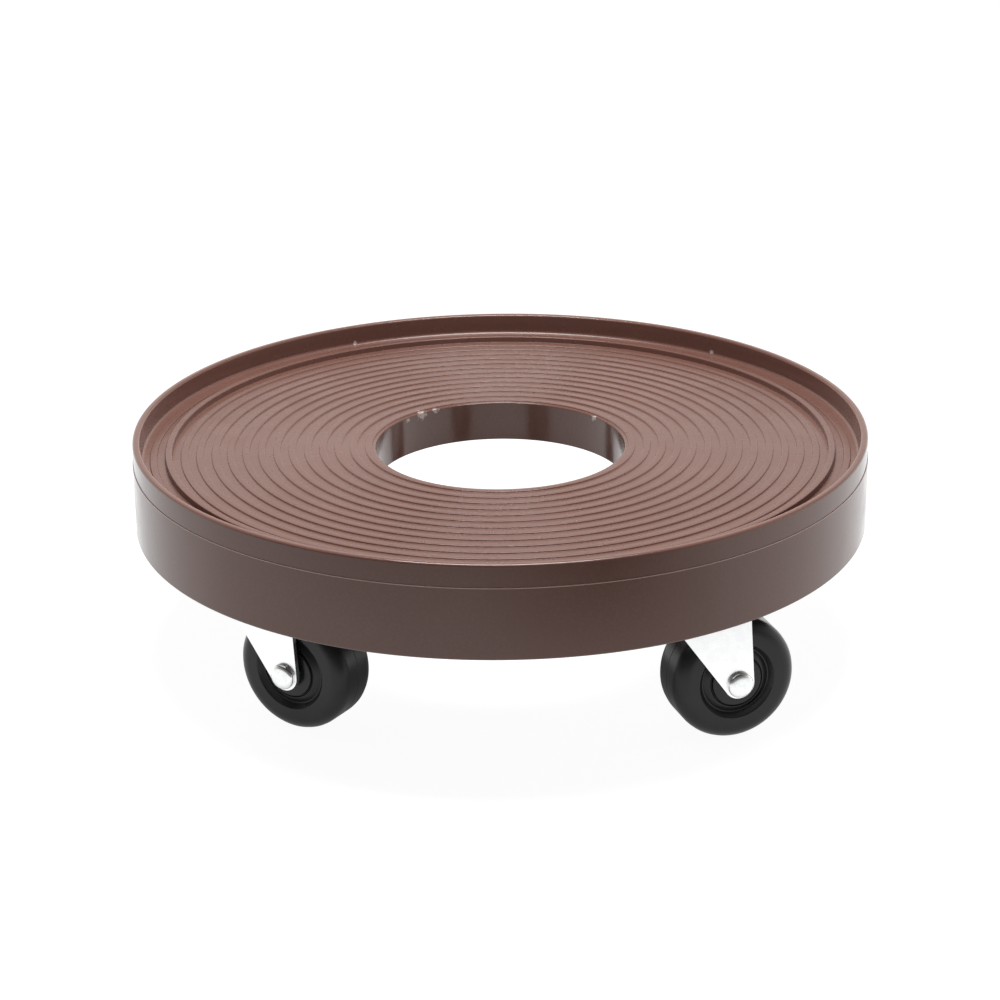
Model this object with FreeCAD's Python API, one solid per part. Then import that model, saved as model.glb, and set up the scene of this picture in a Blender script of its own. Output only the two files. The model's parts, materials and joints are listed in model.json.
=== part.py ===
import FreeCAD, Part

import math
import os

from FreeCAD import Placement, Rotation, Vector

os.makedirs("parts", exist_ok=True)

# Plant pot caddy: a round moulded deck on four swivel casters. Millimetres.
# The origin is on the floor under the deck's centre, +Z up, and the casters stand on the diagonals.

# ---- deck: one moulding ----
RIM_R = 152.4
SKIRT_R = 152.7
WALL = 3.1
OVERALL_HEIGHT = 97.3
SKIRT_BOTTOM = 58.8
BAND_BOTTOM = 88.2
BAND_LEDGE = 0.3
RIM_OUTER_ROUND = 0.5
RIM_INNER_ROUND = 0.9
SKIRT_FOOT_ROUND = 0.8
DECK_FLOOR = 88.35
DECK_THICK = 3.0
HOLE_R = 52.0
HOLE_EDGE_ROUND = 0.5
COLLAR_BOTTOM = 71.4
COLLAR_WALL = 3.0

# Concentric ridges on the deck, and the taller bead that keeps the pot centred.
RIDGE_FIRST_R = 53.4
RIDGE_PITCH = 6.37
RIDGE_WIDTH = 3.1
RIDGE_HEIGHT = 0.55
RIDGE_SLOPE = 0.15
RIDGE_COUNT = 15
BEAD_INDEX = 13
BEAD_HEIGHT = 2.5
COVE_R = 1.5

# Ribs under the deck.
RIB_THICK = 2.0
RIB_BOTTOM = 75.5
RADIAL_RIBS = 16
RING_RIB_R = 88.0

# Caster mounting boxes, open downwards, with four screw bosses and one boss over the kingpin.
BOX_LENGTH = 64.0
BOX_WIDTH = 48.0
BOX_WALL = 2.5
BOX_CORNER_R = 5.0
BOX_RIB = 2.4
BOSS_R = 5.0
KING_BOSS_R = 8.0

# ---- casters ----
MOUNT_Z = 63.5
KINGPIN_PITCH_R = 118.7
PLATE_THICK = 2.0
PLATE_HOLE_R = 2.6
SCREW_SPACING_LONG = 50.0
SCREW_SPACING_WIDE = 34.0

SCREW_R = 2.0
SCREW_LENGTH = 14.0
SCREW_HEAD_R = 3.9
SCREW_HEAD_HEIGHT = 2.2
SCREW_SLOT_WIDTH = 1.1
SCREW_SLOT_LENGTH = 4.4
SCREW_SLOT_DEPTH = 1.4

UPPER_BALL_R = 2.0
UPPER_RACE_R = 13.5
UPPER_BALL_COUNT = 16
LOWER_BALL_R = 1.6
LOWER_RACE_R = 8.6
LOWER_BALL_COUNT = 12
RACE_GAP = 0.1
UPPER_RACE_DEPTH = 0.6
LOWER_RACE_DEPTH = 0.5

CROWN_THICK = 2.2
CROWN_R = 19.0
CROWN_HOLE_R = 5.0
CROWN_BACK = -11.0
CROWN_FRONT = 22.0
LIP_THICK = 1.8
LIP_HEIGHT = 2.3
BEND_R = 2.6

LEG_THICK = 2.0
LEG_INNER = 12.5
LEG_TIP_R = 6.2
# The leading edge's round shoulder, measured out from and down from the crown's front corner.
LEG_SHOULDER_OUT = 2.7
LEG_SHOULDER_DROP = 7.0
LEG_SHOULDER_MID_OUT = 2.1
LEG_SHOULDER_MID_DROP = 2.4
TRAIL = 20.25

KINGPIN_R = 4.0
KINGPIN_HEAD_R = 6.5
KINGPIN_HEAD = 1.4
KINGPIN_FLARE_R = 5.8
KINGPIN_FLARE = 1.5
CUP_R = 11.5
CUP_THICK = 1.7

WHEEL_R = 25.4
WHEEL_HALF = 11.4
WHEEL_SHOULDER_R = 5.7
# Each side has a ring-shaped recess: a steep outer wall, then a cone that rises to a fine groove at the hub.
RECESS_EDGE_R = 15.8
RECESS_FLOOR_R = 13.9
RECESS_DEPTH = 2.4
RECESS_INNER_R = 10.8
RECESS_INNER_DEPTH = 0.4
HUB_R = 10.1
HUB_ROUND = 0.3
HUB_GROOVE_DEPTH = 1.3
RUNNING_GAP = 0.05

AXLE_R = 3.15
AXLE_HEAD_R = 5.25
AXLE_HEAD = 2.5
AXLE_HEAD_ROUND = 1.1
SLEEVE_R = 4.75

# Static parts seat in their holes with this much room all round.
SEAT_GAP = 0.04

# How far a cutting shape runs past the faces that it cuts.
PAST = 1.0

# Each caster: name, direction of its kingpin from the centre, direction that its wheel trails,
# and how far its wheel has slid along the sleeve within the fork's side play.
CASTERS = (
    ("front_right", -45.0, 27.56, -0.5),
    ("front_left", -135.0, -21.91, 0.8),
    ("rear_left", 135.0, 120.0, 0.0),
    ("rear_right", 45.0, 105.0, 0.0),
)

# Heights worked out from the sizes above.
PLATE_BOTTOM = MOUNT_Z - PLATE_THICK
UPPER_BALL_Z = PLATE_BOTTOM + UPPER_RACE_DEPTH - UPPER_BALL_R
CROWN_TOP = UPPER_BALL_Z - UPPER_BALL_R + UPPER_RACE_DEPTH
CROWN_BOTTOM = CROWN_TOP - CROWN_THICK
LOWER_BALL_Z = CROWN_BOTTOM + LOWER_RACE_DEPTH - LOWER_BALL_R
CUP_TOP = LOWER_BALL_Z - LOWER_BALL_R + LOWER_RACE_DEPTH
CUP_BOTTOM = CUP_TOP - CUP_THICK
AXLE_Z = WHEEL_R
LEG_OUTER = LEG_INNER + LEG_THICK
BAND_R = SKIRT_R - BAND_LEDGE
INNER_R = RIM_R - WALL
AXIS_Z = Vector(0, 0, 1)
ORIGIN = Vector(0, 0, 0)


def line(start, end):
    """A straight edge in the r-z plane."""
    return Part.LineSegment(Vector(start[0], 0, start[1]), Vector(end[0], 0, end[1])).toShape()


def quarter_arc(start, end, centre):
    """A circular edge in the r-z plane from start to end, the short way round centre."""
    a = math.atan2(start[1] - centre[1], start[0] - centre[0])
    b = math.atan2(end[1] - centre[1], end[0] - centre[0])
    turn = (b - a + math.pi) % (2 * math.pi) - math.pi
    radius = math.hypot(start[0] - centre[0], start[1] - centre[1])
    middle = a + turn / 2
    mid = Vector(centre[0] + radius * math.cos(middle), 0, centre[1] + radius * math.sin(middle))
    return Part.Arc(Vector(start[0], 0, start[1]), mid, Vector(end[0], 0, end[1])).toShape()


def lathe(steps):
    """Revolves a closed outline about Z. A step is (r, z), or (r, z, centre r, centre z) for an arc to it."""
    edges = []
    last = steps[-1][:2]
    for step in steps:
        point = step[:2]
        if len(step) == 4:
            edges.append(quarter_arc(last, point, step[2:]))
        else:
            edges.append(line(last, point))
        last = point
    face = Part.Face(Part.Wire(edges))
    return face.revolve(ORIGIN, AXIS_Z, 360)


def cylinder(radius, low, high, x=0.0, y=0.0):
    return Part.makeCylinder(radius, high - low, Vector(x, y, low))


def block(x0, x1, y0, y1, z0, z1):
    return Part.makeBox(x1 - x0, y1 - y0, z1 - z0, Vector(x0, y0, z0))


def rounded_block(length, width, corner, z0, z1):
    """A plate centred on the Z axis with round vertical corners, longer along Y."""
    plate = block(-width / 2, width / 2, -length / 2, length / 2, z0, z1)
    upright = [e for e in plate.Edges if abs(e.tangentAt(e.FirstParameter).z) > 0.9]
    return plate.makeFillet(corner, upright)


def placed(shape, x=0.0, y=0.0, z=0.0, turn=0.0):
    copy = shape.copy()
    copy.Placement = Placement(Vector(x, y, z), Rotation(AXIS_Z, turn)).multiply(copy.Placement)
    return copy


def kingpin_centre(direction):
    angle = math.radians(direction)
    return KINGPIN_PITCH_R * math.cos(angle), KINGPIN_PITCH_R * math.sin(angle)


def screw_places():
    """The four screw centres of one caster, about its kingpin, with the plate's length along Y."""
    for side in (-1, 1):
        for end in (-1, 1):
            yield side * SCREW_SPACING_WIDE / 2, end * SCREW_SPACING_LONG / 2


# ---- deck ----

def ridge_outline(index):
    """The outline across one ridge, from its inner foot to its outer foot."""
    inner = RIDGE_FIRST_R + RIDGE_PITCH * index
    outer = inner + RIDGE_WIDTH
    height = BEAD_HEIGHT if index == BEAD_INDEX else RIDGE_HEIGHT
    top = DECK_FLOOR + height
    slope = RIDGE_SLOPE
    return [(inner, DECK_FLOOR), (inner + slope, top), (outer - slope, top), (outer, DECK_FLOOR)]


def deck_top_outline():
    """From the hole's top edge outwards over the ridges and up the cove to the rim's inner wall."""
    round_r = HOLE_EDGE_ROUND
    steps = [(HOLE_R, DECK_FLOOR - round_r)]
    steps.append((HOLE_R + round_r, DECK_FLOOR, HOLE_R + round_r, DECK_FLOOR - round_r))
    for index in range(RIDGE_COUNT):
        steps.extend(ridge_outline(index))
    steps.append((INNER_R - COVE_R, DECK_FLOOR))
    steps.append((INNER_R, DECK_FLOOR + COVE_R, INNER_R - COVE_R, DECK_FLOOR + COVE_R))
    return steps


def rim_outline():
    """Over the rim and down the outside of the skirt to its foot, then up the inside to the deck."""
    top = OVERALL_HEIGHT
    inside = RIM_INNER_ROUND
    outside = RIM_OUTER_ROUND
    foot = SKIRT_FOOT_ROUND
    skirt_inner = SKIRT_R - WALL
    return [
        (INNER_R, top - inside),
        (INNER_R + inside, top, INNER_R + inside, top - inside),
        (RIM_R - outside, top),
        (RIM_R, top - outside, RIM_R - outside, top - outside),
        (BAND_R, BAND_BOTTOM),
        (SKIRT_R, BAND_BOTTOM - BAND_LEDGE),
        (SKIRT_R, SKIRT_BOTTOM + foot),
        (SKIRT_R - foot, SKIRT_BOTTOM, SKIRT_R - foot, SKIRT_BOTTOM + foot),
        (skirt_inner, SKIRT_BOTTOM),
        (skirt_inner, DECK_FLOOR - DECK_THICK),
    ]


def collar_outline():
    """Back under the deck to the collar round the hole, and down to its foot."""
    outer = HOLE_R + COLLAR_WALL
    return [(outer, DECK_FLOOR - DECK_THICK), (outer, COLLAR_BOTTOM), (HOLE_R, COLLAR_BOTTOM)]


def ring_wall(inner, outer, low, high):
    return cylinder(outer, low, high).cut(cylinder(inner, low - PAST, high + PAST))


def deck_ribs():
    """Radial ribs from collar to skirt, and one ring rib between them."""
    top = DECK_FLOOR - DECK_THICK / 2
    start = HOLE_R + COLLAR_WALL / 2
    end = SKIRT_R - WALL / 2
    ribs = [ring_wall(RING_RIB_R - RIB_THICK / 2, RING_RIB_R + RIB_THICK / 2, RIB_BOTTOM, top)]
    rib = block(start, end, -RIB_THICK / 2, RIB_THICK / 2, RIB_BOTTOM, top)
    for index in range(RADIAL_RIBS):
        ribs.append(placed(rib, turn=360.0 * index / RADIAL_RIBS))
    return ribs


def mounting_box():
    """One caster's mounting box about its kingpin: a wall, four screw bosses and a middle boss."""
    top = DECK_FLOOR - DECK_THICK / 2
    outside = rounded_block(BOX_LENGTH, BOX_WIDTH, BOX_CORNER_R, MOUNT_Z, top)
    length = BOX_LENGTH - 2 * BOX_WALL
    width = BOX_WIDTH - 2 * BOX_WALL
    inside = rounded_block(length, width, BOX_CORNER_R - BOX_WALL, MOUNT_Z - PAST, top + PAST)
    pieces = [outside.cut(inside), cylinder(KING_BOSS_R, MOUNT_Z, top)]
    long_half = (BOX_LENGTH - BOX_WALL) / 2
    wide_half = (BOX_WIDTH - BOX_WALL) / 2
    thin = BOX_RIB / 2
    pieces.append(block(-wide_half, wide_half, -thin, thin, MOUNT_Z, top))
    pieces.append(block(-thin, thin, -long_half, long_half, MOUNT_Z, top))
    for x, y in screw_places():
        pieces.append(cylinder(BOSS_R, MOUNT_Z, top, x, y))
    return pieces[0].multiFuse(pieces[1:])


def pilot_holes():
    """The screws' blind holes in the four bosses of one box."""
    holes = [
        cylinder(SCREW_R + SEAT_GAP, MOUNT_Z - PAST, PLATE_BOTTOM + SCREW_LENGTH + PAST, x, y)
        for x, y in screw_places()
    ]
    return Part.makeCompound(holes)


def make_deck():
    body = lathe(deck_top_outline() + rim_outline() + collar_outline())
    box = mounting_box()
    holes = pilot_holes()
    boxes = []
    drills = []
    for _, direction, _, _ in CASTERS:
        x, y = kingpin_centre(direction)
        boxes.append(placed(box, x, y, 0, direction))
        drills.append(placed(holes, x, y, 0, direction))
    deck = body.multiFuse(deck_ribs() + boxes)
    return deck.cut(Part.makeCompound(drills)).removeSplitter()


# ---- fixed parts of one caster, about its kingpin ----

def race(radius, ball_r, ball_z):
    """The ring-shaped groove that a set of balls runs in."""
    return Part.makeTorus(radius, ball_r + RACE_GAP, Vector(0, 0, ball_z))


def make_mount_plate():
    plate = rounded_block(BOX_LENGTH, BOX_WIDTH, BOX_CORNER_R, PLATE_BOTTOM, MOUNT_Z)
    plate = plate.cut(race(UPPER_RACE_R, UPPER_BALL_R, UPPER_BALL_Z))
    for x, y in screw_places():
        plate = plate.cut(cylinder(PLATE_HOLE_R, PLATE_BOTTOM - PAST, MOUNT_Z + PAST, x, y))
    gap = SEAT_GAP
    hole = lathe([
        (0, PLATE_BOTTOM - PAST),
        (KINGPIN_R + gap, PLATE_BOTTOM - PAST),
        (KINGPIN_R + gap, MOUNT_Z - KINGPIN_FLARE),
        (KINGPIN_FLARE_R + gap, MOUNT_Z),
        (KINGPIN_FLARE_R + gap, MOUNT_Z + PAST),
        (0, MOUNT_Z + PAST),
    ])
    return plate.cut(hole)


def make_kingpin():
    """The swivel rivet: flared flush with the plate's top, with a round head under the lower cup."""
    low = CUP_BOTTOM - KINGPIN_HEAD
    edge = KINGPIN_HEAD / 2
    return lathe([
        (0, low),
        (KINGPIN_HEAD_R - edge, low),
        (KINGPIN_HEAD_R, low + edge, KINGPIN_HEAD_R - edge, low + edge),
        (KINGPIN_HEAD_R, CUP_BOTTOM),
        (KINGPIN_R, CUP_BOTTOM),
        (KINGPIN_R, MOUNT_Z - KINGPIN_FLARE),
        (KINGPIN_FLARE_R, MOUNT_Z),
        (0, MOUNT_Z),
    ])


def make_lower_race_cup():
    cup = ring_wall(KINGPIN_R + SEAT_GAP, CUP_R, CUP_BOTTOM, CUP_TOP)
    return cup.cut(race(LOWER_RACE_R, LOWER_BALL_R, LOWER_BALL_Z))


def make_balls(count, ball_r, race_r, ball_z):
    balls = []
    for index in range(count):
        angle = 2 * math.pi * index / count
        centre = Vector(race_r * math.cos(angle), race_r * math.sin(angle), ball_z)
        balls.append(Part.makeSphere(ball_r, centre))
    return Part.makeCompound(balls)


def make_screws():
    """One caster's four screws: a round head with a crossed slot under the plate, and a plain shank."""
    low = PLATE_BOTTOM - SCREW_HEAD_HEIGHT
    edge = SCREW_HEAD_HEIGHT / 2
    tip = PLATE_BOTTOM + SCREW_LENGTH
    screw = lathe([
        (0, low),
        (SCREW_HEAD_R - edge, low),
        (SCREW_HEAD_R, low + edge, SCREW_HEAD_R - edge, low + edge),
        (SCREW_HEAD_R, PLATE_BOTTOM),
        (SCREW_R, PLATE_BOTTOM),
        (SCREW_R, tip - SCREW_R),
        (0, tip),
    ])
    half = SCREW_SLOT_LENGTH / 2
    thin = SCREW_SLOT_WIDTH / 2
    screw = screw.cut(block(-half, half, -thin, thin, low - PAST, low + SCREW_SLOT_DEPTH))
    screw = screw.cut(block(-thin, thin, -half, half, low - PAST, low + SCREW_SLOT_DEPTH))
    return Part.makeCompound([placed(screw, x, y) for x, y in screw_places()])


# ---- swivelling parts of one caster: kingpin at the origin, wheel trailing along +X ----

def leg_outline():
    """The fork leg seen from the side: a slanted trailing edge, a rounded tip and an upright leading edge."""
    tip = Vector(TRAIL, 0, AXLE_Z)
    back_top = Vector(CROWN_BACK, 0, CROWN_TOP)
    front_top = Vector(CROWN_FRONT, 0, CROWN_TOP)
    front_shoulder = Vector(CROWN_FRONT + LEG_SHOULDER_OUT, 0, CROWN_TOP - LEG_SHOULDER_DROP)
    back_touch = tangent_point(back_top, tip, LEG_TIP_R, -1)
    front_touch = tangent_point(front_shoulder, tip, LEG_TIP_R, 1)
    lowest = Vector(TRAIL, 0, AXLE_Z - LEG_TIP_R)
    shoulder_mid = Vector(CROWN_FRONT + LEG_SHOULDER_MID_OUT, 0, CROWN_TOP - LEG_SHOULDER_MID_DROP)
    edges = [
        Part.LineSegment(back_top, back_touch).toShape(),
        Part.Arc(back_touch, lowest, front_touch).toShape(),
        Part.LineSegment(front_touch, front_shoulder).toShape(),
        Part.Arc(front_shoulder, shoulder_mid, front_top).toShape(),
        Part.LineSegment(front_top, back_top).toShape(),
    ]
    return Part.Face(Part.Wire(edges))


def tangent_point(point, centre, radius, side):
    """Where the line from point touches the circle about centre, on the given side, in the X-Z plane."""
    away = point.sub(centre)
    base = math.atan2(away.z, away.x)
    angle = base - side * math.acos(radius / away.Length)
    return centre.add(Vector(radius * math.cos(angle), 0, radius * math.sin(angle)))


def bent_sides():
    """The space inside the fork's outer faces, with the two bends at the crown rounded."""
    space = block(-WHEEL_R * 2, WHEEL_R * 2, -LEG_OUTER, LEG_OUTER, 0, CROWN_TOP)
    bends = [
        e for e in space.Edges
        if abs(e.tangentAt(e.FirstParameter).x) > 0.9 and abs(e.CenterOfMass.z - CROWN_TOP) < PAST
    ]
    return space.makeFillet(BEND_R, bends)


def make_fork():
    """Crown with an upturned lip round the ball race, and two legs bent down at its sides."""
    slab = block(CROWN_BACK, CROWN_FRONT, -LEG_OUTER, LEG_OUTER, CROWN_BOTTOM, CROWN_TOP)
    leg = leg_outline().extrude(Vector(0, LEG_THICK, 0))
    legs = [placed(leg, 0, LEG_INNER), placed(leg, 0, -LEG_OUTER)]
    fork = slab.multiFuse(legs).common(bent_sides())
    disc = cylinder(CROWN_R, CROWN_BOTTOM, CROWN_TOP)
    lip = ring_wall(CROWN_R - LIP_THICK, CROWN_R, CROWN_BOTTOM, CROWN_TOP + LIP_HEIGHT)
    fork = fork.multiFuse([disc, lip])
    fork = fork.cut(cylinder(CROWN_HOLE_R, CROWN_BOTTOM - PAST, CROWN_TOP + PAST))
    fork = fork.cut(race(UPPER_RACE_R, UPPER_BALL_R, UPPER_BALL_Z))
    fork = fork.cut(race(LOWER_RACE_R, LOWER_BALL_R, LOWER_BALL_Z))
    axle_hole = across(cylinder(AXLE_R + SEAT_GAP, -LEG_OUTER - PAST, LEG_OUTER + PAST))
    return fork.cut(axle_hole).removeSplitter()


def across(shape):
    """Lays a shape made about the Z axis along the wheel's axle."""
    copy = shape.copy()
    turned = Placement(Vector(TRAIL, 0, AXLE_Z), Rotation(Vector(1, 0, 0), 90))
    copy.Placement = turned.multiply(copy.Placement)
    return copy


def make_axle_rivet():
    """A rivet through both legs, with a flat round-edged head outside each."""
    face = LEG_OUTER + AXLE_HEAD
    edge = AXLE_HEAD_ROUND
    rise = AXLE_HEAD_R - edge
    return across(lathe([
        (0, -face),
        (rise, -face),
        (AXLE_HEAD_R, -face + edge, rise, -face + edge),
        (AXLE_HEAD_R, -LEG_OUTER),
        (AXLE_R, -LEG_OUTER),
        (AXLE_R, LEG_OUTER),
        (AXLE_HEAD_R, LEG_OUTER),
        (AXLE_HEAD_R, face - edge),
        (rise, face, rise, face - edge),
        (0, face),
    ]))


def make_axle_sleeve():
    """The spacer tube that the wheel turns on, held between the legs."""
    return across(ring_wall(AXLE_R + SEAT_GAP, SLEEVE_R, -LEG_INNER, LEG_INNER))


def wheel_side():
    """The wheel's outline from its bore to the tread's middle on one side, as (r, w) steps."""
    half = WHEEL_HALF
    shoulder = WHEEL_SHOULDER_R
    bore = SLEEVE_R + RUNNING_GAP
    hub = HUB_R - HUB_ROUND
    return [
        (bore, half),
        (hub, half),
        (HUB_R, half - HUB_ROUND, hub, half - HUB_ROUND),
        (HUB_R, half - HUB_GROOVE_DEPTH),
        (RECESS_INNER_R, half - RECESS_INNER_DEPTH),
        (RECESS_FLOOR_R, half - RECESS_DEPTH),
        (RECESS_EDGE_R, half),
        (WHEEL_R - shoulder, half),
        (WHEEL_R, half - shoulder, WHEEL_R - shoulder, half - shoulder),
    ]


def make_wheel():
    """A one-piece hard rubber wheel, recessed on both sides round its hub."""
    near = wheel_side()
    steps = list(near)
    for index in range(len(near) - 1, -1, -1):
        r, w = near[index][:2]
        following = near[index + 1] if index + 1 < len(near) else ()
        if len(following) == 4:
            steps.append((r, -w, following[2], -following[3]))
        else:
            steps.append((r, -w))
    return across(lathe(steps))


def save(name, shape):
    shape.exportStep(f"parts/{name}.step")


def main():
    save("deck", make_deck())
    fixed = {
        "mount_plate": make_mount_plate(),
        "kingpin": make_kingpin(),
        "lower_race_cup": make_lower_race_cup(),
    }
    swivelling = {
        "upper_balls": make_balls(UPPER_BALL_COUNT, UPPER_BALL_R, UPPER_RACE_R, UPPER_BALL_Z),
        "lower_balls": make_balls(LOWER_BALL_COUNT, LOWER_BALL_R, LOWER_RACE_R, LOWER_BALL_Z),
        "fork": make_fork(),
        "axle_rivet": make_axle_rivet(),
        "axle_sleeve": make_axle_sleeve(),
    }
    wheel = make_wheel()
    screws = make_screws()
    all_screws = []
    for caster, direction, trail, slide in CASTERS:
        x, y = kingpin_centre(direction)
        save(f"{caster}_wheel", placed(placed(wheel, 0, slide), x, y, 0, trail))
        all_screws.extend(placed(screws, x, y, 0, direction).Solids)
        for name, shape in fixed.items():
            save(f"{caster}_{name}", placed(shape, x, y, 0, direction))
        for name, shape in swivelling.items():
            save(f"{caster}_{name}", placed(shape, x, y, 0, trail))
    save("mount_screws", Part.makeCompound(all_screws))


main()
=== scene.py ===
import json
import math

import bmesh
import bpy
from mathutils import Matrix, Vector


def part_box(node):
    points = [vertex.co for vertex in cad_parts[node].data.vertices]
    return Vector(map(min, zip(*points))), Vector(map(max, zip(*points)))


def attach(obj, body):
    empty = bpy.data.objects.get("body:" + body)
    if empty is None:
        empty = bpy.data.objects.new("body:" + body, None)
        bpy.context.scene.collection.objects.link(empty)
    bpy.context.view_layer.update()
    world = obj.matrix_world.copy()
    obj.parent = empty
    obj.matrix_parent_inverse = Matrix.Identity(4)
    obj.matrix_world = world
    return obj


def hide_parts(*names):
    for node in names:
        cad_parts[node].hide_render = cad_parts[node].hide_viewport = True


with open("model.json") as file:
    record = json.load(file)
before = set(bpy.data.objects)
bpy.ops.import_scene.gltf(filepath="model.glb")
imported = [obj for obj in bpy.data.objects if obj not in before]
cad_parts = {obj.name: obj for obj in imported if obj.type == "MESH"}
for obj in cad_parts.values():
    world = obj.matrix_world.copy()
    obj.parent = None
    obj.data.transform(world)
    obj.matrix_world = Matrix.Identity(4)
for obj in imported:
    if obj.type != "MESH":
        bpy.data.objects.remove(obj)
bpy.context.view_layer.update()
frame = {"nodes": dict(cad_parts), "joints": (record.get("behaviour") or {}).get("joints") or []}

MM = 0.001
LYING = Matrix.Rotation(math.radians(90), 4, "X")

# ---------------------------------------------------------------- places read from the frame

JOINTS = {joint["name"]: joint for joint in frame["joints"]}
CASTERS = sorted(name[:-len("_swivel_turn")] for name in JOINTS if name.endswith("_swivel_turn"))

DECK_LOW, DECK_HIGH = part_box("deck")
SKIRT_R = (DECK_HIGH.x - DECK_LOW.x) / 2
TOP = DECK_HIGH.z
SKIRT_BOTTOM = DECK_LOW.z

# ---------------------------------------------------------------- sizes of the deck moulding

WALL = 3.1 * MM
BAND_LEDGE = 0.3 * MM
STEP_DROP = 0.11 * MM
RIM_R = SKIRT_R - BAND_LEDGE
BAND_BOTTOM = TOP - 9.1 * MM
INNER_R = RIM_R - WALL
DECK_FLOOR = TOP - 8.95 * MM
DECK_THICK = 3.0 * MM
HOLE_R = 52.0 * MM
COLLAR_WALL = 3.0 * MM
COLLAR_BOTTOM = TOP - 25.9 * MM
RIDGE_FIRST_R = 53.4 * MM
RIDGE_PITCH = 6.37 * MM
RIDGE_WIDTH = 3.1 * MM
RIDGE_HEIGHT = 0.55 * MM
RIDGE_COUNT = 15
RIDGE_LEAN = 0.15 * MM
RIDGE_EDGE_R = 0.34 * MM
RIDGE_FOOT_R = 0.10 * MM
BEAD_INDEX = 13
BEAD_HEIGHT = 2.5 * MM
BEAD_EDGE_R = 0.4 * MM
COVE_R = 1.5 * MM
RIM_EDGE_R = 0.9 * MM
HOLE_EDGE_R = 0.5 * MM
SKIRT_EDGE_R = 0.8 * MM
STEP_EDGE_R = 0.07 * MM
STEP_FOOT_R = 0.05 * MM
UNDER_FILLET_R = 1.0 * MM
UNDER_EDGE_R = 0.3 * MM
COLLAR_EDGE_R = 0.4 * MM

# The underside: ribs, and one open box over each caster with bosses for its screws.
RIB_THICK = 2.0 * MM
RIB_BOTTOM = TOP - 21.8 * MM
RADIAL_RIBS = 16
RING_RIB_R = 88.0 * MM
BOX_BOTTOM = TOP - 33.8 * MM
BOX_LENGTH = 64.0 * MM
BOX_WIDTH = 48.0 * MM
BOX_CORNER_R = 5.0 * MM
BOX_WALL = 2.5 * MM
BOX_RIB = 2.4 * MM
BOSS_R = 5.0 * MM
KING_BOSS_R = 8.0 * MM
SCREW_SPACING_LONG = 50.0 * MM
SCREW_SPACING_WIDE = 34.0 * MM
PILOT_R = 2.04 * MM
PILOT_TOP = BOX_BOTTOM + 13.0 * MM
RIB_HIGH = DECK_FLOOR - DECK_THICK / 2
BOX_EDGE = 0.4 * MM
RIB_EDGE = 0.3 * MM

# The screws' bores in the deck are cut a little past its lowest face, by this much.
OVERCUT = 1.0 * MM

DECK_SEGMENTS = 384
WHEEL_SEGMENTS = 160
SMALL_SEGMENTS = 96
BOSS_SEGMENTS = 48
PILOT_SEGMENTS = 24


# ---------------------------------------------------------------- mesh helpers

def new_object(name, mesh):
    obj = bpy.data.objects.new(name, mesh)
    bpy.context.scene.collection.objects.link(obj)
    return obj


def rounded(corners, closed=True, step=30.0):
    """Rounds an outline's corners, each (r, z) or (r, z, radius), with a point about every step degrees."""
    points = []
    count = len(corners)
    for i, corner in enumerate(corners):
        here = Vector(corner[:2])
        radius = corner[2] if len(corner) == 3 else 0.0
        if radius <= 0 or (not closed and i in (0, count - 1)):
            points.append(here)
            continue
        back = (Vector(corners[i - 1][:2]) - here).normalized()
        ahead = (Vector(corners[(i + 1) % count][:2]) - here).normalized()
        half = back.angle(ahead) / 2
        reach = radius / math.tan(half)
        centre = here + (back + ahead).normalized() * (radius / math.sin(half))
        start = here + back * reach - centre
        turn = math.pi - 2 * half
        side = -1.0 if back.x * ahead.y - back.y * ahead.x > 0 else 1.0
        parts = max(2, round(math.degrees(turn) / step))
        for k in range(parts + 1):
            angle = side * turn * k / parts
            c, s = math.cos(angle), math.sin(angle)
            points.append(centre + Vector((start.x * c - start.y * s, start.x * s + start.y * c)))
    return points


def lathe_mesh(name, outline, segments):
    """Revolves an outline of (r, z) points about Z. Its two ends are joined unless they lie on the axis."""
    bm = bmesh.new()
    on_axis = outline[0][0] < 1e-9
    rings = []
    for r, z in outline:
        if r < 1e-9:
            rings.append([bm.verts.new((0, 0, z))])
            continue
        ring = []
        for k in range(segments):
            a = 2 * math.pi * k / segments
            ring.append(bm.verts.new((r * math.cos(a), r * math.sin(a), z)))
        rings.append(ring)
    pairs = list(zip(rings, rings[1:]))
    if not on_axis:
        pairs.append((rings[-1], rings[0]))
    for a, b in pairs:
        for k in range(segments):
            n = (k + 1) % segments
            if len(a) == 1:
                bm.faces.new((a[0], b[n], b[k]))
            elif len(b) == 1:
                bm.faces.new((a[k], a[n], b[0]))
            else:
                bm.faces.new((a[k], a[n], b[n], b[k]))
    bmesh.ops.recalc_face_normals(bm, faces=bm.faces)
    mesh = bpy.data.meshes.new(name)
    bm.to_mesh(mesh)
    bm.free()
    return mesh


def prism_mesh(name, outline, low, high):
    """An upright prism on an outline of (x, y) points."""
    bm = bmesh.new()
    floor = [bm.verts.new((x, y, low)) for x, y in outline]
    roof = [bm.verts.new((x, y, high)) for x, y in outline]
    bm.faces.new(list(reversed(floor)))
    bm.faces.new(roof)
    count = len(outline)
    for k in range(count):
        n = (k + 1) % count
        bm.faces.new((floor[k], floor[n], roof[n], roof[k]))
    bmesh.ops.recalc_face_normals(bm, faces=bm.faces)
    mesh = bpy.data.meshes.new(name)
    bm.to_mesh(mesh)
    bm.free()
    return mesh


def circle(radius, segments, x=0.0, y=0.0):
    angles = [2 * math.pi * k / segments for k in range(segments)]
    return [(x + radius * math.cos(a), y + radius * math.sin(a)) for a in angles]


def round_rectangle(width, length, corner):
    half_w, half_l = width / 2, length / 2
    corners = [(-half_w, -half_l), (half_w, -half_l), (half_w, half_l), (-half_w, half_l)]
    return [tuple(p) for p in rounded([c + (corner,) for c in corners], step=15.0)]


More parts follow.
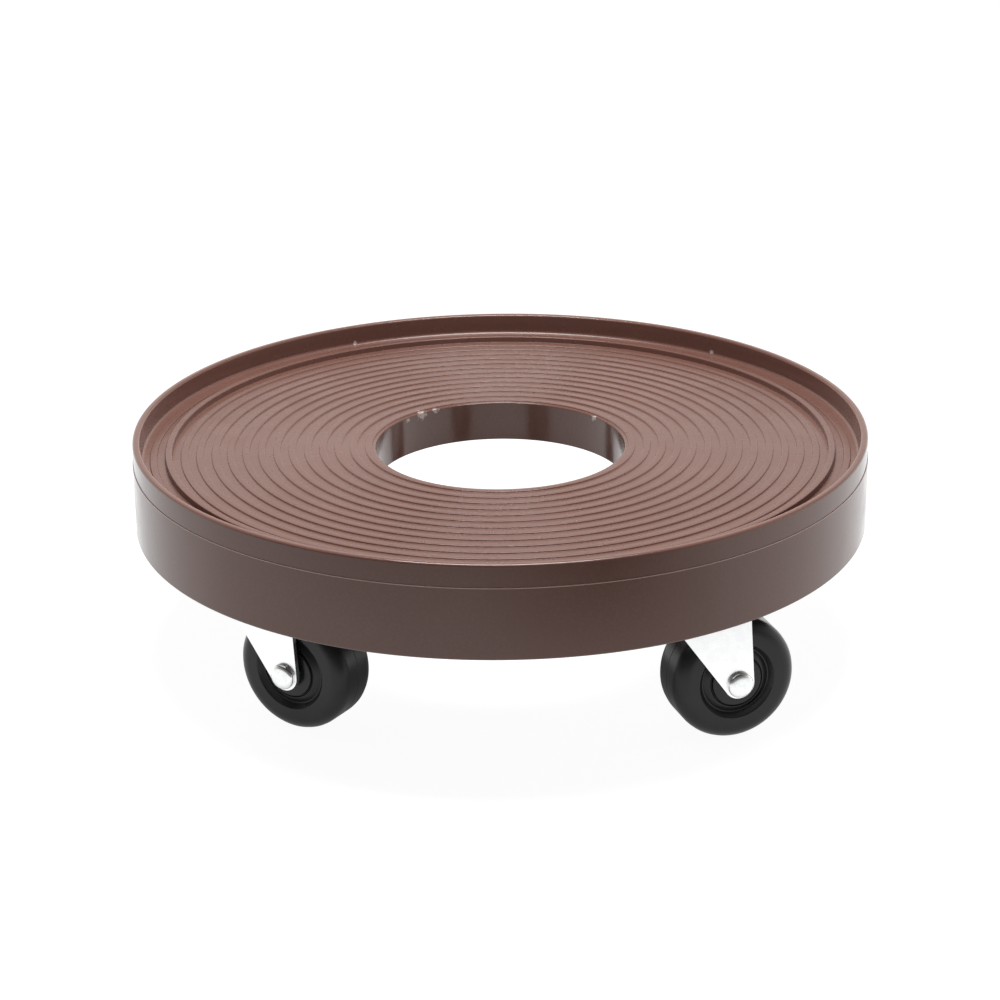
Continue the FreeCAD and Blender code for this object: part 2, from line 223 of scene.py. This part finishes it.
def combine(obj, others, operation):
    """Joins or cuts closed meshes and leaves one closed mesh."""
    for other in others:
        boolean = obj.modifiers.new("combine", "BOOLEAN")
        boolean.operation = operation
        boolean.solver = "MANIFOLD"
        boolean.object = other
    settle(obj)
    for other in others:
        bpy.data.objects.remove(other)
    return obj


def settle(obj):
    """Applies the object's modifiers to its mesh."""
    graph = bpy.context.evaluated_depsgraph_get()
    graph.update()
    mesh = bpy.data.meshes.new_from_object(obj.evaluated_get(graph))
    obj.modifiers.clear()
    obj.data = mesh
    return obj


def bevel(obj, width, segments=2, angle=40.0):
    modifier = obj.modifiers.new("bevel", "BEVEL")
    modifier.width = width
    modifier.segments = segments
    modifier.limit_method = "ANGLE"
    modifier.angle_limit = math.radians(angle)
    return settle(obj)


def smooth(obj, angle=35.0):
    """Smooth shading that keeps edges sharper than angle, with normals weighted by face area."""
    mesh = obj.data
    mesh.shade_smooth()
    mesh.set_sharp_from_angle(angle=math.radians(angle))
    weighted = obj.modifiers.new("weighted", "WEIGHTED_NORMAL")
    weighted.keep_sharp = True
    weighted.weight = 80
    return obj


# ---------------------------------------------------------------- material helpers

class Nodes:
    """A short way to write the node tree of a material or world."""

    def __init__(self, owner, output="OutputMaterial"):
        owner.use_nodes = True
        self.tree = owner.node_tree
        self.tree.nodes.clear()
        self.out = self.tree.nodes.new("ShaderNode" + output)

    def add(self, kind, inputs=None, **settings):
        node = self.tree.nodes.new("ShaderNode" + kind)
        for key, value in settings.items():
            setattr(node, key, value)
        for key, value in (inputs or {}).items():
            self.feed(node, key, value)
        return node

    def feed(self, node, key, value):
        socket = node.inputs[key]
        if isinstance(value, bpy.types.NodeSocket):
            self.tree.links.new(value, socket)
        else:
            socket.default_value = value

    def place(self):
        """The point on the piece, in metres."""
        return self.add("TexCoord").outputs["Object"]

    def noise(self, vector, scale, detail=3.0, roughness=0.5, distortion=0.0):
        node = self.add("TexNoise", {
            "Vector": vector, "Scale": scale, "Detail": detail, "Roughness": roughness,
            "Distortion": distortion,
        })
        return node.outputs["Fac"]

    def spread(self, value, low, high, to_low, to_high):
        node = self.add("MapRange", {
            "Value": value, "From Min": low, "From Max": high, "To Min": to_low, "To Max": to_high,
        })
        return node.outputs["Result"]

    def math(self, operation, a, b=0.0):
        return self.add("Math", {0: a, 1: b}, operation=operation).outputs["Value"]

    def length(self, a, b):
        return self.math("SQRT", self.math("ADD", self.math("MULTIPLY", a, a), self.math("MULTIPLY", b, b)))

    def blend(self, factor, a, b):
        node = self.add("Mix", data_type="RGBA")
        self.feed(node, 0, factor)
        self.feed(node, 6, a)
        self.feed(node, 7, b)
        return node.outputs[2]

    def bump(self, height, strength, distance, normal=None):
        inputs = {"Height": height, "Strength": strength, "Distance": distance}
        if normal is not None:
            inputs["Normal"] = normal
        return self.add("Bump", inputs).outputs["Normal"]

    def surface(self, inputs):
        shader = self.add("BsdfPrincipled", inputs)
        self.tree.links.new(shader.outputs["BSDF"], self.out.inputs["Surface"])
        return shader


# Where the moulding is scuffed, and how far each scuff reaches, in metres.
SCUFFS = (
    ((-0.0395, 0.0338, 0.0875), 0.0065),
    ((-0.0345, 0.0389, 0.0878), 0.0040),
    ((-0.0444, 0.0270, 0.0872), 0.0030),
    ((0.0345, 0.0389, 0.0875), 0.0040),
    ((-0.0876, 0.1209, 0.0895), 0.0026),
    ((0.0771, 0.1279, 0.0900), 0.0026),
)

# Radii between which the deck's satin turns to the polish of the skirt and of the hole's wall.
POLISH_OUTSIDE = (149.0 * MM, 150.0 * MM)
POLISH_INSIDE = (53.0 * MM, 52.5 * MM)

# The height of the painted highlight under the step, a pale line that stands in for the light caught by the
# step's edge, and how far either side of it the line fades.
STEP_HIGHLIGHT_Z = BAND_BOTTOM - STEP_DROP - 0.13 * MM
STEP_HIGHLIGHT_FADE = (0.10 * MM, 0.22 * MM)


def brown_plastic():
    """Chocolate-brown moulded polypropylene."""
    material = bpy.data.materials.new("brown_plastic")
    n = Nodes(material)
    place = n.place()
    x, y, z = n.add("SeparateXYZ", {"Vector": place}).outputs
    radius = n.length(x, y)

    flow = n.noise(place, 14.0, 4.0, 0.55, 0.4)
    fine = n.noise(place, 900.0, 3.0, 0.6)
    colour = n.blend(n.spread(flow, 0.3, 0.7, 0.0, 1.0), (0.130, 0.060, 0.046, 1), (0.149, 0.070, 0.054, 1))
    colour = n.blend(n.spread(fine, 0.45, 0.75, 0.0, 0.35), colour, (0.172, 0.092, 0.074, 1))

    # Pale flash and scuffs at a few places on the edges.
    marked = 0.0
    for spot, size in SCUFFS:
        gap = n.add("VectorMath", {0: place, 1: spot}, operation="DISTANCE").outputs["Value"]
        marked = n.math("MAXIMUM", marked, n.spread(gap, 0.0, size, 1.0, 0.0))
    flakes = n.spread(n.math("MULTIPLY", marked, n.noise(place, 650.0, 4.0, 0.7)), 0.30, 0.40, 0.0, 0.9)
    colour = n.blend(flakes, colour, (0.50, 0.42, 0.39, 1))

    outside = n.spread(radius, *POLISH_OUTSIDE, 0.0, 1.0)
    inside = n.spread(radius, *POLISH_INSIDE, 0.0, 1.0)

    # Painted highlight: a paler line just under the step in the skirt, standing in for the step edge's
    # reflection of the overhead light.
    off_line = n.math("ABSOLUTE", n.math("SUBTRACT", z, STEP_HIGHLIGHT_Z))
    painted_highlight = n.math("MULTIPLY", n.spread(off_line, *STEP_HIGHLIGHT_FADE, 0.75, 0.0), outside)
    colour = n.blend(painted_highlight, colour, (0.56, 0.38, 0.33, 1))

    gloss = n.math("MAXIMUM", outside, inside)
    scuff = n.noise(place, 60.0, 5.0, 0.6)
    rough = n.math("ADD", n.spread(gloss, 0.0, 1.0, 0.27, 0.16), n.spread(scuff, 0.35, 0.75, -0.03, 0.07))

    # Faint turning marks from the mould, in rings about the centre.
    rings = n.add("TexNoise", {"W": radius, "Scale": 2300.0, "Detail": 2.0}, noise_dimensions="1D")
    texture = n.bump(rings.outputs["Fac"], 0.5, 0.00002, n.bump(fine, 0.12, 0.00012))
    waves = n.bump(n.noise(place, 38.0, 2.0, 0.5), 0.10, 0.0006, texture)
    n.surface({
        "Base Color": colour, "Roughness": rough, "Normal": waves, "IOR": 1.49,
    })
    return material


def white_zinc():
    """Bright white zinc plating on pressed steel."""
    material = bpy.data.materials.new("white_zinc")
    n = Nodes(material)
    place = n.place()
    cloud = n.noise(place, 180.0, 4.0, 0.6)
    grain = n.noise(place, 2600.0, 2.0, 0.6)
    colour = n.blend(n.spread(cloud, 0.35, 0.7, 0.0, 1.0), (0.955, 0.965, 0.975, 1), (0.99, 0.99, 0.99, 1))
    rough = n.spread(n.noise(place, 320.0, 3.0), 0.3, 0.7, 0.24, 0.32)
    n.surface({
        "Base Color": colour, "Metallic": 1.0, "Roughness": rough, "Normal": n.bump(grain, 0.06, 0.00003),
    })
    return material


def rivet_steel():
    """Brighter steel, lightly dented where the rivet's heads were formed."""
    material = bpy.data.materials.new("rivet_steel")
    n = Nodes(material)
    place = n.place()
    dents = n.noise(place, 420.0, 3.0, 0.55, 0.3)
    grain = n.noise(place, 3200.0, 2.0, 0.6)
    colour = n.blend(n.spread(dents, 0.35, 0.65, 0.0, 1.0), (0.84, 0.87, 0.87, 1), (0.94, 0.95, 0.94, 1))
    rough = n.spread(dents, 0.3, 0.7, 0.26, 0.18)
    normal = n.bump(dents, 0.30, 0.00012)
    n.surface({
        "Base Color": colour, "Metallic": 1.0, "Roughness": rough,
        "Normal": n.bump(grain, 0.1, 0.00003, normal),
    })
    return material


def bearing_steel():
    """Polished steel balls under a film of grease."""
    material = bpy.data.materials.new("bearing_steel")
    n = Nodes(material)
    place = n.place()
    film = n.noise(place, 500.0, 3.0)
    colour = n.blend(film, (0.58, 0.57, 0.55, 1), (0.66, 0.66, 0.66, 1))
    rough = n.spread(film, 0.3, 0.7, 0.10, 0.22)
    n.surface({"Base Color": colour, "Metallic": 1.0, "Roughness": rough})
    return material


def black_rubber():
    """Satin black hard rubber with a trace of dust on its faces."""
    material = bpy.data.materials.new("black_rubber")
    n = Nodes(material)
    place = n.place()
    cloud = n.noise(place, 90.0, 4.0, 0.6)
    grain = n.noise(place, 1500.0, 3.0, 0.65)
    dusty = n.spread(cloud, 0.35, 0.7, 0.0, 1.0)
    colour = n.blend(dusty, (0.011, 0.011, 0.012, 1), (0.018, 0.018, 0.019, 1))
    colour = n.blend(n.spread(grain, 0.6, 0.8, 0.0, 0.5), colour, (0.045, 0.045, 0.047, 1))
    rough = n.spread(cloud, 0.3, 0.7, 0.25, 0.36)
    n.surface({
        "Base Color": colour, "Roughness": rough, "Normal": n.bump(grain, 0.14, 0.00008),
        "Specular IOR Level": 0.34,
    })
    return material


BROWN = brown_plastic()
ZINC = white_zinc()
RIVET = rivet_steel()
BEARING = bearing_steel()
RUBBER = black_rubber()


# ---------------------------------------------------------------- deck

def deck_outline():
    """The moulding's section, from the hole's top edge outwards and back underneath."""
    corners = [(HOLE_R, DECK_FLOOR, HOLE_EDGE_R)]
    for index in range(RIDGE_COUNT):
        inner = RIDGE_FIRST_R + RIDGE_PITCH * index
        outer = inner + RIDGE_WIDTH
        bead = index == BEAD_INDEX
        top = DECK_FLOOR + (BEAD_HEIGHT if bead else RIDGE_HEIGHT)
        edge = BEAD_EDGE_R if bead else RIDGE_EDGE_R
        corners += [(inner, DECK_FLOOR, RIDGE_FOOT_R), (inner + RIDGE_LEAN, top, edge)]
        corners += [(outer - RIDGE_LEAN, top, edge), (outer, DECK_FLOOR, RIDGE_FOOT_R)]
    under = DECK_FLOOR - DECK_THICK
    skirt_inner = SKIRT_R - WALL
    collar_r = HOLE_R + COLLAR_WALL
    corners += [
        (INNER_R, DECK_FLOOR, COVE_R),
        (INNER_R, TOP, RIM_EDGE_R),
        (RIM_R, TOP, RIM_EDGE_R),
        (RIM_R, BAND_BOTTOM, STEP_FOOT_R),
        (SKIRT_R, BAND_BOTTOM - STEP_DROP, STEP_EDGE_R),
        (SKIRT_R, SKIRT_BOTTOM, SKIRT_EDGE_R),
        (skirt_inner, SKIRT_BOTTOM, UNDER_EDGE_R),
        (skirt_inner, under, UNDER_FILLET_R),
        (collar_r, under, UNDER_FILLET_R),
        (collar_r, COLLAR_BOTTOM, UNDER_EDGE_R),
        (HOLE_R, COLLAR_BOTTOM, COLLAR_EDGE_R),
    ]
    return rounded(corners)


def slab(name, x0, x1, y0, y1, low, high):
    return new_object(name, prism_mesh(name, [(x0, y0), (x1, y0), (x1, y1), (x0, y1)], low, high))


def upright_pieces(caster_place):
    """The plastic round one caster's screws: a box wall, two crossing ribs and five bosses."""
    outer = round_rectangle(BOX_WIDTH, BOX_LENGTH, BOX_CORNER_R)
    inner = round_rectangle(BOX_WIDTH - 2 * BOX_WALL, BOX_LENGTH - 2 * BOX_WALL, BOX_CORNER_R - BOX_WALL)
    wall = new_object("box", prism_mesh("box", outer, BOX_BOTTOM, RIB_HIGH))
    room = new_object("room", prism_mesh("room", inner, BOX_BOTTOM - OVERCUT, RIB_HIGH + OVERCUT))
    pieces = [bevel(combine(wall, [room], "DIFFERENCE"), BOX_EDGE, angle=60.0)]
    half_l = (BOX_LENGTH - BOX_WALL) / 2
    half_w = (BOX_WIDTH - BOX_WALL) / 2
    thin = BOX_RIB / 2
    pieces.append(slab("cross_rib", -half_w, half_w, -thin, thin, BOX_BOTTOM, RIB_HIGH))
    pieces.append(slab("long_rib", -thin, thin, -half_l, half_l, BOX_BOTTOM, RIB_HIGH))
    bosses = [(0.0, 0.0, KING_BOSS_R)]
    bosses += [(x, y, BOSS_R) for x, y in screw_places()]
    for x, y, radius in bosses:
        outline = circle(radius, BOSS_SEGMENTS, x, y)
        boss = new_object("boss", prism_mesh("boss", outline, BOX_BOTTOM, RIB_HIGH))
        pieces.append(bevel(boss, RIB_EDGE, angle=60.0))
    for piece in pieces:
        piece.data.transform(caster_place)
    return pieces


def screw_places():
    """The four screw centres about a kingpin, with the box's length along Y."""
    return [(i * SCREW_SPACING_WIDE / 2, j * SCREW_SPACING_LONG / 2) for i in (-1, 1) for j in (-1, 1)]


def rib_pieces():
    """The radial ribs from collar to skirt, and one ring rib."""
    start = HOLE_R + COLLAR_WALL / 2
    stop = SKIRT_R - WALL / 2
    half = RIB_THICK / 2
    pieces = []
    for k in range(RADIAL_RIBS):
        rib = bevel(slab("rib", start, stop, -half, half, RIB_BOTTOM, RIB_HIGH), RIB_EDGE, angle=60.0)
        rib.data.transform(Matrix.Rotation(2 * math.pi * k / RADIAL_RIBS, 4, "Z"))
        pieces.append(rib)
    section = [
        (RING_RIB_R - half, RIB_BOTTOM, RIB_EDGE), (RING_RIB_R + half, RIB_BOTTOM, RIB_EDGE),
        (RING_RIB_R + half, RIB_HIGH), (RING_RIB_R - half, RIB_HIGH),
    ]
    pieces.append(new_object("ring_rib", lathe_mesh("ring_rib", rounded(section), DECK_SEGMENTS)))
    return pieces


def make_deck():
    deck = new_object("deck_moulding", lathe_mesh("deck_moulding", deck_outline(), DECK_SEGMENTS))
    added = rib_pieces()
    drills = []
    for name in CASTERS:
        king = Vector(JOINTS[name + "_swivel_turn"]["pos_m"])
        place = Matrix.Translation((king.x, king.y, 0)) @ Matrix.Rotation(math.atan2(king.y, king.x), 4, "Z")
        added += upright_pieces(place)
        for x, y in screw_places():
            outline = circle(PILOT_R, PILOT_SEGMENTS, x, y)
            drill = new_object("drill", prism_mesh("drill", outline, BOX_BOTTOM - OVERCUT, PILOT_TOP))
            drill.data.transform(place)
            drills.append(drill)
    combine(deck, added, "UNION")
    combine(deck, drills, "DIFFERENCE")
    deck.data.materials.clear()
    deck.data.materials.append(BROWN)
    smooth(deck, 50.0)
    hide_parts("deck")
    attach(deck, "deck")


# ---------------------------------------------------------------- casters

class Caster:
    """Where one caster stands: its kingpin, its trailing direction and its axle's height."""

    def __init__(self, name):
        self.name = name
        king = Vector(JOINTS[name + "_swivel_turn"]["pos_m"])
        axle = Vector(JOINTS[name + "_wheel_roll"]["pos_m"])
        trail = (axle - king).xy
        self.trail = trail.length
        self.axle_z = axle.z
        low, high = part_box(name + "_wheel")
        along = Vector((trail.y, -trail.x, 0)).normalized()
        self.slide = ((low + high) / 2 - axle).dot(along)
        turn = math.atan2(trail.y, trail.x)
        self.upright = Matrix.Translation((king.x, king.y, 0)) @ Matrix.Rotation(turn, 4, "Z")
        self.axle = self.upright @ Matrix.Translation((self.trail, 0, self.axle_z)) @ LYING


def wheel_outline():
    """The section of the wheel as (r, w), w along the axle: hub, dish, face, round shoulder and tread."""
    side = [
        (4.80, 11.4, 0.25), (10.10, 11.4, 0.40), (10.35, 10.1, 0.15), (10.60, 10.1, 0.15),
        (11.10, 10.8, 0.35), (13.90, 9.0, 0.50), (15.80, 11.4, 0.40), (25.4, 11.4, 5.70),
    ]
    groove = [(25.4, 0.22, 0.08), (25.28, 0.0, 0.05), (25.4, -0.22, 0.08)]
    corners = side + groove + [(r, -w, radius) for r, w, radius in reversed(side)]
    return rounded([(r * MM, w * MM, radius * MM) for r, w, radius in corners], step=15.0)


def rivet_outline():
    """The axle rivet from end to end, in millimetres: two domed heads on one shank."""
    radius = 5.25
    shank_r = 3.15
    seat = 14.5
    side = 0.55
    dome = 1.95
    power = 0.62
    corner = 0.1
    steps = 14
    half = []
    for k in range(steps + 1):
        turn = math.pi / 2 * k / steps
        half.append((radius * math.sin(turn) ** power, seat + side + dome * math.cos(turn) ** power))
    half += [(radius, seat + corner), (radius - corner, seat), (shank_r, seat)]
    return [Vector((r * MM, w * MM)) for r, w in half + [(r, -w) for r, w in reversed(half)]]


def tangent(point, centre, radius, side):
    """Where the line from point touches the circle about centre, on one side."""
    away = Vector(point) - Vector(centre)
    angle = math.atan2(away.y, away.x) - side * math.acos(radius / away.length)
    return Vector(centre) + radius * Vector((math.cos(angle), math.sin(angle)))


class ForkShape:
    """The fork's sheet: legs seen from the side as ranges of h (along the trail) at each height."""

    thick = 2.0 * MM
    crown_thick = 2.2 * MM
    outer = 14.5 * MM
    bend = 2.6 * MM
    tip_r = 6.2 * MM
    back_h = -11.0 * MM
    front_h = 22.0 * MM
    shoulder_out = 2.7 * MM
    shoulder_drop = 7.0 * MM
    tip_steps = 10
    leg_steps = 10
    bend_steps = 5

    def __init__(self, trail, axle_z, crown_top):
        self.top = crown_top
        self.tip = Vector((trail, axle_z))
        self.back_top = Vector((self.back_h, crown_top))
        self.shoulder = Vector((self.front_h + self.shoulder_out, crown_top - self.shoulder_drop))
        self.back_touch = tangent(self.back_top, self.tip, self.tip_r, -1)
        self.front_touch = tangent(self.shoulder, self.tip, self.tip_r, 1)

    def back(self, z):
        if z >= self.back_touch.y:
            share = (z - self.back_touch.y) / (self.back_top.y - self.back_touch.y)
            return self.back_touch.x + share * (self.back_top.x - self.back_touch.x)
        return self.tip.x - math.sqrt(max(0.0, self.tip_r ** 2 - (z - self.tip.y) ** 2))

    def front(self, z):
        if z >= self.shoulder.y:
            share = min(1.0, (z - self.shoulder.y) / self.shoulder_drop)
            return self.front_h + self.shoulder_out * math.sqrt(max(0.0, 1 - share ** 2))
        if z >= self.front_touch.y:
            share = (z - self.front_touch.y) / (self.shoulder.y - self.front_touch.y)
            return self.front_touch.x + share * (self.shoulder.x - self.front_touch.x)
        return self.tip.x + math.sqrt(max(0.0, self.tip_r ** 2 - (z - self.tip.y) ** 2))

    def rows(self):
        """Half of the section across the sheet as (outer w, z, inner w, z), from a tip to mid-crown."""
        found = []
        for k in range(self.tip_steps + 1):
            z = self.tip.y - self.tip_r * math.cos(math.radians(90.0 * k / self.tip_steps))
            found.append((self.outer, z, self.outer - self.thick, z))
        bend_z = self.top - self.bend
        low = found[-1][1]
        for k in range(1, self.leg_steps + 1):
            z = low + (bend_z - low) * k / self.leg_steps
            found.append((self.outer, z, self.outer - self.thick, z))
        inner_r = self.bend - self.thick
        centre = self.outer - self.bend
        under = self.top - self.crown_thick
        for k in range(1, self.bend_steps + 1):
            angle = math.radians(90.0 * k / self.bend_steps)
            c, s = math.cos(angle), math.sin(angle)
            found.append((
                centre + self.bend * c, bend_z + self.bend * s,
                centre + inner_r * c, under - inner_r + inner_r * s,
            ))
        for share in (0.66, 0.33):
            found.append((centre * share, self.top, centre * share, under))
        return found

    def mesh(self, name, columns=8):
        half = self.rows()
        across = half + [(-a, b, -c, d) for a, b, c, d in reversed(half)]
        bm = bmesh.new()
        outer_rows, inner_rows = [], []
        last = len(across) - 1
        for k, (wo, zo, wi, zi) in enumerate(across):
            start, stop = self.back(zo), self.front(zo)
            if k in (0, last):
                outer_rows.append([bm.verts.new((self.tip.x, wo, zo))] * (columns + 1))
                inner_rows.append([bm.verts.new((self.tip.x, wi, zi))] * (columns + 1))
                continue
            steps = [start + (stop - start) * j / columns for j in range(columns + 1)]
            outer_rows.append([bm.verts.new((h, wo, zo)) for h in steps])
            inner_rows.append([bm.verts.new((h, wi, zi)) for h in steps])

        def quad(a, b, c, d):
            corners = []
            for vertex in (a, b, c, d):
                if vertex not in corners:
                    corners.append(vertex)
            if len(corners) > 2:
                bm.faces.new(corners)

        for k in range(last):
            for j in range(columns):
                quad(outer_rows[k][j], outer_rows[k][j + 1], outer_rows[k + 1][j + 1], outer_rows[k + 1][j])
                quad(inner_rows[k][j], inner_rows[k + 1][j], inner_rows[k + 1][j + 1], inner_rows[k][j + 1])
            quad(outer_rows[k][0], outer_rows[k + 1][0], inner_rows[k + 1][0], inner_rows[k][0])
            quad(outer_rows[k][-1], inner_rows[k][-1], inner_rows[k + 1][-1], outer_rows[k + 1][-1])
        bmesh.ops.recalc_face_normals(bm, faces=bm.faces)
        mesh = bpy.data.meshes.new(name)
        bm.to_mesh(mesh)
        bm.free()
        return mesh


LIP_HEIGHT = 2.3 * MM
CROWN_OPENING_R = 18.2 * MM
AXLE_BORE_R = 3.19 * MM


def crown_outline(top):
    """The crown's round part: centre hole, upper ball groove, and upturned lip."""
    low = top - ForkShape.crown_thick
    hole_r = 5.0 * MM
    ball_r = 2.1 * MM
    ball_z = top + 1.4 * MM
    race_r = 13.5 * MM
    race_half = 1.7 * MM
    lip_outer = 19.0 * MM
    lip_inner = 17.2 * MM
    lip_top = top + LIP_HEIGHT
    corners = [
        (hole_r, low, 0.3 * MM), (lip_outer, low, 0.8 * MM), (lip_outer, lip_top, 0.6 * MM),
        (lip_inner, lip_top, 0.6 * MM), (lip_inner, top, 0.5 * MM),
        (race_r + race_half, top), (race_r - race_half, top), (hole_r, top, 0.3 * MM),
    ]
    points = rounded(corners, step=20.0)
    half_width = math.sqrt(ball_r ** 2 - (ball_z - top) ** 2)
    groove = []
    for k in range(9):
        r = race_r + half_width * math.cos(math.pi * k / 8)
        groove.append(Vector((r, ball_z - math.sqrt(ball_r ** 2 - (r - race_r) ** 2))))
    result = []
    for point in points:
        if abs(point.x - (race_r + race_half)) < 1e-9:
            result += groove
        elif abs(point.x - (race_r - race_half)) > 1e-9:
            result.append(point)
    return result


def make_fork(caster):
    """The bent sheet, with its middle cut out for the round crown and its legs bored for the axle."""
    low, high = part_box(caster.name + "_fork")
    crown_top = high.z - LIP_HEIGHT
    name = caster.name + "_fork_sheet"
    shape = ForkShape(caster.trail, caster.axle_z, crown_top)
    fork = new_object(name, shape.mesh(name))
    bevel(fork, 0.28 * MM)
    opening = circle(CROWN_OPENING_R, SMALL_SEGMENTS)
    hole = new_object("hole", prism_mesh("hole", opening, crown_top - 4 * MM, crown_top + 4 * MM))
    bore = prism_mesh("bore", circle(AXLE_BORE_R, BOSS_SEGMENTS), -20 * MM, 20 * MM)
    bore.transform(Matrix.Translation((caster.trail, 0, caster.axle_z)) @ LYING)
    combine(fork, [hole, new_object("bore", bore)], "DIFFERENCE")
    crown = new_object("crown", lathe_mesh("crown", crown_outline(crown_top), SMALL_SEGMENTS))
    combine(fork, [crown], "UNION")
    finish_piece(fork, caster.upright, ZINC, "zinc_steel", caster.name + "_swivel", caster.name + "_fork")


def finish_piece(obj, place, material, slot, body, *nodes):
    """Puts a piece in its place, gives it its material, hides the given CAD nodes, and ties it to its body.
    """
    obj.data.transform(place)
    obj.data.materials.clear()
    obj.data.materials.append(material)
    smooth(obj)
    if nodes:
        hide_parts(*nodes)
    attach(obj, body)


def make_caster(name):
    caster = Caster(name)
    make_fork(caster)
    tyre = name + "_rubber_wheel"
    wheel = new_object(tyre, lathe_mesh(tyre, wheel_outline(), WHEEL_SEGMENTS))
    slid = caster.axle @ Matrix.Translation((0, 0, caster.slide))
    finish_piece(wheel, slid, RUBBER, "black_rubber", name + "_roller", name + "_wheel")
    pin = name + "_axle_pin"
    rivet = new_object(pin, lathe_mesh(pin, rivet_outline(), SMALL_SEGMENTS))
    finish_piece(rivet, caster.axle, RIVET, "rivet_steel", name + "_swivel", name + "_axle_rivet")


# ---------------------------------------------------------------- camera, floor and light

def make_camera():
    """A long lens, a little above the deck, aimed just below the rim's centre."""
    distance = 1.17399
    azimuth = math.radians(9.35)
    elevation = math.radians(19.865)
    pitch = -1.551
    roll = 0.577
    level = math.cos(elevation)
    back = Vector((math.sin(azimuth) * level, -math.cos(azimuth) * level, math.sin(elevation)))
    forward = -back
    right = Vector((math.cos(azimuth), math.sin(azimuth), 0))
    up = right.cross(forward)
    for axis, degrees in ((right, pitch), (forward, roll)):
        turn = Matrix.Rotation(math.radians(degrees), 3, axis)
        right, forward, up = turn @ right, turn @ forward, turn @ up
    data = bpy.data.cameras.new("camera")
    data.sensor_width = 36.0
    data.lens = 101.304
    data.clip_start = 0.05
    data.clip_end = 50
    camera = new_object("camera", data)
    spot = Vector((0, 0, TOP)) + back * distance
    camera.matrix_world = Matrix.Translation(spot) @ Matrix((right, up, -forward)).transposed().to_4x4()
    bpy.context.scene.camera = camera


def floor_plane(name, z):
    bm = bmesh.new()
    half = 15.0
    corners = [bm.verts.new((x * half, y * half, z)) for x, y in ((-1, -1), (1, -1), (1, 1), (-1, 1))]
    bm.faces.new(corners)
    mesh = bpy.data.meshes.new(name)
    bm.to_mesh(mesh)
    bm.free()
    plane = new_object(name, mesh)
    return plane


def make_floor():
    """A plain white floor with all but a trace of shadow lost, over a sheet that lights the object."""
    floor = floor_plane("floor", 0.0)
    floor.visible_diffuse = False
    floor.visible_glossy = False
    white = bpy.data.materials.new("floor_white")
    n = Nodes(white)
    sheet_top = n.surface({
        "Base Color": (0.16, 0.16, 0.16, 1), "Roughness": 0.9,
        "Emission Color": (1, 1, 1, 1), "Emission Strength": 0.94,
    })
    # Clear from below, so the underside can be looked at through it.
    below = n.add("NewGeometry").outputs["Backfacing"]
    clear = n.add("BsdfTransparent").outputs["BSDF"]
    both = n.add("MixShader", {0: below, 1: sheet_top.outputs["BSDF"], 2: clear})
    n.tree.links.new(both.outputs["Shader"], n.out.inputs["Surface"])
    floor.data.materials.append(white)

    sheet = floor_plane("floor_bounce", -2 * MM)
    sheet.visible_camera = False
    sheet.visible_shadow = False
    bounce = bpy.data.materials.new("floor_bounce")
    n = Nodes(bounce)
    x, y, z = n.add("SeparateXYZ", {"Vector": n.place()}).outputs
    # A dark patch to the right of the front, where the studio's unlit side begins.
    patch_x, patch_y = 0.27, -0.42
    patch_wide, patch_deep = 0.20, 0.22
    across = n.math("DIVIDE", n.math("SUBTRACT", x, patch_x), patch_wide)
    along = n.math("DIVIDE", n.math("SUBTRACT", y, patch_y), patch_deep)
    away = n.length(across, along)
    front = n.spread(y, -0.60, -0.26, 0.22, 1.0)
    level = n.math("MULTIPLY", n.spread(away, 0.4, 1.3, 0.12, 1.0), front)
    level = n.math("MULTIPLY", level, n.spread(y, -0.15, 0.15, 1.12, 1.45))
    # The deck's own shade under it.
    radius = n.length(x, y)
    level = n.math("MULTIPLY", level, n.spread(radius, 0.09, 0.17, 0.20, 1.0))
    glow = n.add("Emission", {"Color": (1, 1, 1, 1), "Strength": level})
    n.tree.links.new(glow.outputs["Emission"], n.out.inputs["Surface"])
    sheet.data.materials.append(bounce)


def softbox(name, place, target, size, power):
    data = bpy.data.lights.new(name, "AREA")
    data.shape = "RECTANGLE"
    data.size, data.size_y = size
    data.energy = power
    light = new_object(name, data)
    light.location = place
    light.rotation_euler = (Vector(target) - Vector(place)).to_track_quat("-Z", "Y").to_euler()
    light.visible_camera = False


def make_light():
    """A big softbox overhead, and a white studio that is dim on the camera's side."""
    world = bpy.data.worlds.new("studio")
    n = Nodes(world, "OutputWorld")
    x, y, z = n.add("SeparateXYZ", {"Vector": n.add("TexCoord").outputs["Generated"]}).outputs
    level = n.math("MULTIPLY", n.spread(y, -0.55, 0.15, 0.14, 1.0), n.spread(z, 0.26, 0.50, 1.25, 0.28))
    background = n.add("Background", {"Color": (1, 0.975, 0.945, 1), "Strength": level})
    n.tree.links.new(background.outputs["Background"], n.out.inputs["Surface"])
    bpy.context.scene.world = world
    bpy.context.scene.view_settings.view_transform = "Standard"
    softbox("overhead", (0.01, -0.01, 0.84), (0.01, -0.01, 0), (0.46, 0.40), 9.6)


make_camera()
make_floor()
make_light()
make_deck()
for caster_name in CASTERS:
    make_caster(caster_name)

NODE_MATERIALS = (
    ("_mount_plate", ZINC), ("_kingpin", ZINC), ("_lower_race_cup", ZINC), ("_upper_balls", BEARING),
    ("_lower_balls", BEARING), ("_fork", ZINC), ("_axle_rivet", RIVET), ("_axle_sleeve", RIVET),
    ("_wheel", RUBBER), ("mount_screws", ZINC),
)
for node, obj in frame["nodes"].items():
    for ending, material in NODE_MATERIALS:
        if node.endswith(ending):
            for slot in obj.material_slots:
                slot.material = material
